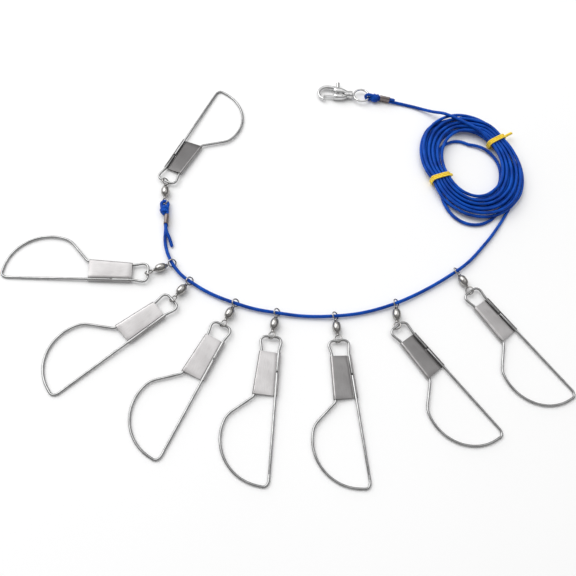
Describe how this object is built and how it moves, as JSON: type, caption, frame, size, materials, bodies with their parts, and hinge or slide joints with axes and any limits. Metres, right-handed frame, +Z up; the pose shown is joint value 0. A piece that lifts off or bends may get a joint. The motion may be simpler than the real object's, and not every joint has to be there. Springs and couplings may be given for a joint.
{
  "type": "fish stringer",
  "caption": "Fish stringer of wire safety-pin snaps on barrel swivels along a blue braided cord, with spare cord in a tied coil and a trigger clasp at its end",
  "frame": {"origin": "middle of the spread-out stringer's footprint, on the surface that it lies on", "axes": "+X to the right along the line of snaps, +Y away from the viewer towards the clasp, +Z up"},
  "size_m": [0.4563, 0.3851, 0.0085],
  "materials": {
    "cord_blue": "braided, slightly waxy",
    "keeper_steel": "brushed sheet",
    "wire_steel": "polished wire",
    "swivel_nickel": "polished nickel",
    "chrome": "polished plating",
    "ferrule_metal": "dull crimped metal",
    "tie_yellow": "yellow coated wire"
  },
  "bodies": {
    "cord": {"cord_line": "cord_blue", "cord_coil": "cord_blue", "cord_lead": "cord_blue", "end_knot": "cord_blue", "clasp_knot": "cord_blue", "crimp_ferrules": "ferrule_metal", "twist_ties": "tie_yellow"},
    "line_eye_1": {"line_eye_1": "swivel_nickel"},
    "barrel_1": {"swivel_barrel_1": "swivel_nickel"},
    "snap_eye_1": {"snap_eye_1": "swivel_nickel"},
    "snap_1": {"snap_wire_1": "wire_steel", "keeper_1": "keeper_steel"},
    "gate_1": {"gate_1": "wire_steel"},
    "line_eye_2": {"line_eye_2": "swivel_nickel"},
    "barrel_2": {"swivel_barrel_2": "swivel_nickel"},
    "snap_eye_2": {"snap_eye_2": "swivel_nickel"},
    "snap_2": {"snap_wire_2": "wire_steel", "keeper_2": "keeper_steel"},
    "gate_2": {"gate_2": "wire_steel"},
    "line_eye_3": {"line_eye_3": "swivel_nickel"},
    "barrel_3": {"swivel_barrel_3": "swivel_nickel"},
    "snap_eye_3": {"snap_eye_3": "swivel_nickel"},
    "snap_3": {"snap_wire_3": "wire_steel", "keeper_3": "keeper_steel"},
    "gate_3": {"gate_3": "wire_steel"},
    "line_eye_4": {"line_eye_4": "swivel_nickel"},
    "barrel_4": {"swivel_barrel_4": "swivel_nickel"},
    "snap_eye_4": {"snap_eye_4": "swivel_nickel"},
    "snap_4": {"snap_wire_4": "wire_steel", "keeper_4": "keeper_steel"},
    "gate_4": {"gate_4": "wire_steel"},
    "line_eye_5": {"line_eye_5": "swivel_nickel"},
    "barrel_5": {"swivel_barrel_5": "swivel_nickel"},
    "snap_eye_5": {"snap_eye_5": "swivel_nickel"},
    "snap_5": {"snap_wire_5": "wire_steel", "keeper_5": "keeper_steel"},
    "gate_5": {"gate_5": "wire_steel"},
    "line_eye_6": {"line_eye_6": "swivel_nickel"},
    "barrel_6": {"swivel_barrel_6": "swivel_nickel"},
    "snap_eye_6": {"snap_eye_6": "swivel_nickel"},
    "snap_6": {"snap_wire_6": "wire_steel", "keeper_6": "keeper_steel"},
    "gate_6": {"gate_6": "wire_steel"},
    "line_eye_7": {"line_eye_7": "swivel_nickel"},
    "barrel_7": {"swivel_barrel_7": "swivel_nickel"},
    "snap_eye_7": {"snap_eye_7": "swivel_nickel"},
    "snap_7": {"snap_wire_7": "wire_steel", "keeper_7": "keeper_steel"},
    "gate_7": {"gate_7": "wire_steel"},
    "line_eye_8": {"line_eye_8": "swivel_nickel"},
    "barrel_8": {"swivel_barrel_8": "swivel_nickel"},
    "snap_eye_8": {"snap_eye_8": "swivel_nickel"},
    "snap_8": {"snap_wire_8": "wire_steel", "keeper_8": "keeper_steel"},
    "gate_8": {"gate_8": "wire_steel"},
    "clasp_ring": {"clasp_ring": "chrome"},
    "clasp": {"clasp_body": "chrome", "lever_pin": "chrome", "lever_spring": "wire_steel"},
    "trigger": {"trigger_lever": "chrome"}
  },
  "joints": [
    {"name": "line_eye_swing_1", "type": "hinge", "parent": "cord", "child": "line_eye_1", "pos_m": [-0.10045, 0.0528, 0.00375], "axis": [0.9999, 0.0105, 0], "range_deg": [0, 60]},
    {"name": "barrel_spin_1", "type": "hinge", "parent": "line_eye_1", "child": "barrel_1", "pos_m": [-0.10056, 0.0633, 0.00375], "axis": [-0.0105, 0.9999, 0], "continuous": true},
    {"name": "snap_eye_spin_1", "type": "hinge", "parent": "line_eye_1", "child": "snap_eye_1", "pos_m": [-0.10056, 0.0633, 0.00375], "axis": [0.0105, -0.9999, 0], "continuous": true},
    {"name": "snap_flap_1", "type": "hinge", "parent": "snap_eye_1", "child": "snap_1", "pos_m": [-0.10067, 0.07426, 0.00325], "axis": [0.8949, -0.4462, 0], "range_deg": [0, 80]},
    {"name": "gate_open_1", "type": "hinge", "parent": "snap_1", "child": "gate_1", "pos_m": [-0.05849, 0.1741, 0.00119], "axis": [-0.6268, 0.3276, 0.707], "range_deg": [0, 25], "stiffness_Nm_per_rad": 0.1},
    {"name": "line_eye_swing_2", "type": "hinge", "parent": "cord", "child": "line_eye_2", "pos_m": [-0.09216, -0.00752, 0.00319], "axis": [-0.4898, 0.8718, -0.0004], "range_deg": [0, 60]},
    {"name": "barrel_spin_2", "type": "hinge", "parent": "line_eye_2", "child": "barrel_2", "pos_m": [-0.10142, -0.01168, 0.00375], "axis": [-0.9121, -0.4099, 0], "continuous": true},
    {"name": "snap_eye_spin_2", "type": "hinge", "parent": "line_eye_2", "child": "snap_eye_2", "pos_m": [-0.10142, -0.01168, 0.00375], "axis": [0.9121, 0.4099, 0], "continuous": true},
    {"name": "snap_flap_2", "type": "hinge", "parent": "snap_eye_2", "child": "snap_2", "pos_m": [-0.11143, -0.01619, 0.00325], "axis": [0.0314, 0.9995, 0], "range_deg": [0, 80]},
    {"name": "gate_open_2", "type": "hinge", "parent": "snap_2", "child": "gate_2", "pos_m": [-0.21977, -0.01958, 0.00119], "axis": [-0.0357, -0.7063, 0.707], "range_deg": [0, 25], "stiffness_Nm_per_rad": 0.1},
    {"name": "line_eye_swing_3", "type": "hinge", "parent": "cord", "child": "line_eye_3", "pos_m": [-0.0776, -0.0239, 0.00315], "axis": [-0.8001, 0.5997, 0.0146], "range_deg": [0, 60]},
    {"name": "barrel_spin_3", "type": "hinge", "parent": "line_eye_3", "child": "barrel_3", "pos_m": [-0.08391, -0.03185, 0.00375], "axis": [-0.6225, -0.7826, 0], "continuous": true},
    {"name": "snap_eye_spin_3", "type": "hinge", "parent": "line_eye_3", "child": "snap_eye_3", "pos_m": [-0.08391, -0.03185, 0.00375], "axis": [0.6225, 0.7826, 0], "continuous": true},
    {"name": "snap_flap_3", "type": "hinge", "parent": "snap_eye_3", "child": "snap_3", "pos_m": [-0.0909, -0.04063, 0.00325], "axis": [-0.6361, 0.7716, 0], "range_deg": [0, 80]},
    {"name": "gate_open_3", "type": "hinge", "parent": "snap_3", "child": "gate_3", "pos_m": [-0.17005, -0.11469, 0.00119], "axis": [0.4394, -0.5542, 0.707], "range_deg": [0, 25], "stiffness_Nm_per_rad": 0.1},
    {"name": "line_eye_swing_4", "type": "hinge", "parent": "cord", "child": "line_eye_4", "pos_m": [-0.04056, -0.04357, 0.00304], "axis": [-0.9378, 0.347, 0.0097], "range_deg": [0, 60]},
    {"name": "barrel_spin_4", "type": "hinge", "parent": "line_eye_4", "child": "barrel_4", "pos_m": [-0.04537, -0.05251, 0.00375], "axis": [-0.4741, -0.8805, 0], "continuous": true},
    {"name": "snap_eye_spin_4", "type": "hinge", "parent": "line_eye_4", "child": "snap_eye_4", "pos_m": [-0.04537, -0.05251, 0.00375], "axis": [0.4741, 0.8805, 0], "continuous": true},
    {"name": "snap_flap_4", "type": "hinge", "parent": "snap_eye_4", "child": "snap_4", "pos_m": [-0.05075, -0.0625, 0.00325], "axis": [-0.8918, 0.4524, 0], "range_deg": [0, 80]},
    {"name": "gate_open_4", "type": "hinge", "parent": "snap_4", "child": "gate_4", "pos_m": [-0.09363, -0.16205, 0.00119], "axis": [0.6245, -0.3319, 0.707], "range_deg": [0, 25], "stiffness_Nm_per_rad": 0.1},
    {"name": "line_eye_swing_5", "type": "hinge", "parent": "cord", "child": "line_eye_5", "pos_m": [-0.00731, -0.05208, 0.00302], "axis": [-0.9861, 0.1659, -0.0022], "range_deg": [0, 60]},
    {"name": "barrel_spin_5", "type": "hinge", "parent": "line_eye_5", "child": "barrel_5", "pos_m": [-0.00976, -0.06193, 0.00375], "axis": [-0.2419, -0.9703, 0], "continuous": true},
    {"name": "snap_eye_spin_5", "type": "hinge", "parent": "line_eye_5", "child": "snap_eye_5", "pos_m": [-0.00976, -0.06193, 0.00375], "axis": [0.2419, 0.9703, 0], "continuous": true},
    {"name": "snap_flap_5", "type": "hinge", "parent": "snap_eye_5", "child": "snap_5", "pos_m": [-0.01249, -0.07287, 0.00325], "axis": [-0.9943, 0.1063, 0], "range_deg": [0, 80]},
    {"name": "gate_open_5", "type": "hinge", "parent": "snap_5", "child": "gate_5", "pos_m": [-0.01723, -0.18116, 0.00119], "axis": [0.7017, -0.0885, 0.707], "range_deg": [0, 25], "stiffness_Nm_per_rad": 0.1},
    {"name": "line_eye_swing_6", "type": "hinge", "parent": "cord", "child": "line_eye_6", "pos_m": [0.03986, -0.05502, 0.00297], "axis": [-0.998, -0.0636, 0.0018], "range_deg": [0, 60]},
    {"name": "barrel_spin_6", "type": "hinge", "parent": "line_eye_6", "child": "barrel_6", "pos_m": [0.04025, -0.06517, 0.00375], "axis": [0.0384, -0.9993, 0], "continuous": true},
    {"name": "snap_eye_spin_6", "type": "hinge", "parent": "line_eye_6", "child": "snap_eye_6", "pos_m": [0.04025, -0.06517, 0.00375], "axis": [-0.0384, 0.9993, 0], "continuous": true},
    {"name": "snap_flap_6", "type": "hinge", "parent": "snap_eye_6", "child": "snap_6", "pos_m": [0.04069, -0.07649, 0.00325], "axis": [-0.9966, -0.0819, 0], "range_deg": [0, 80]},
    {"name": "gate_open_6", "type": "hinge", "parent": "snap_6", "child": "gate_6", "pos_m": [0.05633, -0.18375, 0.00119], "axis": [0.7058, 0.0445, 0.707], "range_deg": [0, 25], "stiffness_Nm_per_rad": 0.1},
    {"name": "line_eye_swing_7", "type": "hinge", "parent": "cord", "child": "line_eye_7", "pos_m": [0.09141, -0.04365, 0.00298], "axis": [-0.933, -0.36, -0.0019], "range_deg": [0, 60]},
    {"name": "barrel_spin_7", "type": "hinge", "parent": "line_eye_7", "child": "barrel_7", "pos_m": [0.09063, -0.05377, 0.00375], "axis": [-0.0767, -0.9971, 0], "continuous": true},
    {"name": "snap_eye_spin_7", "type": "hinge", "parent": "line_eye_7", "child": "snap_eye_7", "pos_m": [0.09063, -0.05377, 0.00375], "axis": [-0.0767, -0.9971, 0], "continuous": true},
    {"name": "snap_flap_7", "type": "hinge", "parent": "snap_eye_7", "child": "snap_7", "pos_m": [0.08982, -0.06431, 0.00325], "axis": [-0.8049, -0.5934, 0], "range_deg": [0, 80]},
    {"name": "gate_open_7", "type": "hinge", "parent": "snap_7", "child": "gate_7", "pos_m": [0.15949, -0.14735, 0.00119], "axis": [0.5771, 0.4088, 0.707], "range_deg": [0, 25], "stiffness_Nm_per_rad": 0.1},
    {"name": "line_eye_swing_8", "type": "hinge", "parent": "cord", "child": "line_eye_8", "pos_m": [0.14716, -0.01371, 0.00308], "axis": [-0.8278, -0.561, 0.0023], "range_deg": [0, 60]},
    {"name": "barrel_spin_8", "type": "hinge", "parent": "line_eye_8", "child": "barrel_8", "pos_m": [0.15135, -0.02296, 0.00375], "axis": [0.4131, -0.9107, 0], "continuous": true},
    {"name": "snap_eye_spin_8", "type": "hinge", "parent": "line_eye_8", "child": "snap_eye_8", "pos_m": [0.15135, -0.02296, 0.00375], "axis": [-0.4131, 0.9107, 0], "continuous": true},
    {"name": "snap_flap_8", "type": "hinge", "parent": "snap_eye_8", "child": "snap_8", "pos_m": [0.15599, -0.03319, 0.00325], "axis": [-0.8121, -0.5835, 0], "range_deg": [0, 80]},
    {"name": "gate_open_8", "type": "hinge", "parent": "snap_8", "child": "gate_8", "pos_m": [0.22465, -0.11707, 0.00119], "axis": [0.5821, 0.4017, 0.707], "range_deg": [0, 25], "stiffness_Nm_per_rad": 0.1},
    {"name": "clasp_ring_swing", "type": "hinge", "parent": "cord", "child": "clasp_ring", "pos_m": [0.08876, 0.1755, 0.0044], "axis": [0.0698, 0.9976, 0], "range_deg": [0, 60]},
    {"name": "clasp_spin", "type": "hinge", "parent": "clasp_ring", "child": "clasp", "pos_m": [0.07375, 0.17755, 0.0039], "axis": [0.997, -0.0697, 0.0326], "continuous": true},
    {"name": "trigger_open", "type": "hinge", "parent": "clasp", "child": "trigger", "pos_m": [0.06294, 0.1749, 0.00356], "axis": [0.0326, -0.0023, -0.9995], "range_deg": [0, 25], "stiffness_Nm_per_rad": 0.02}
  ]
}
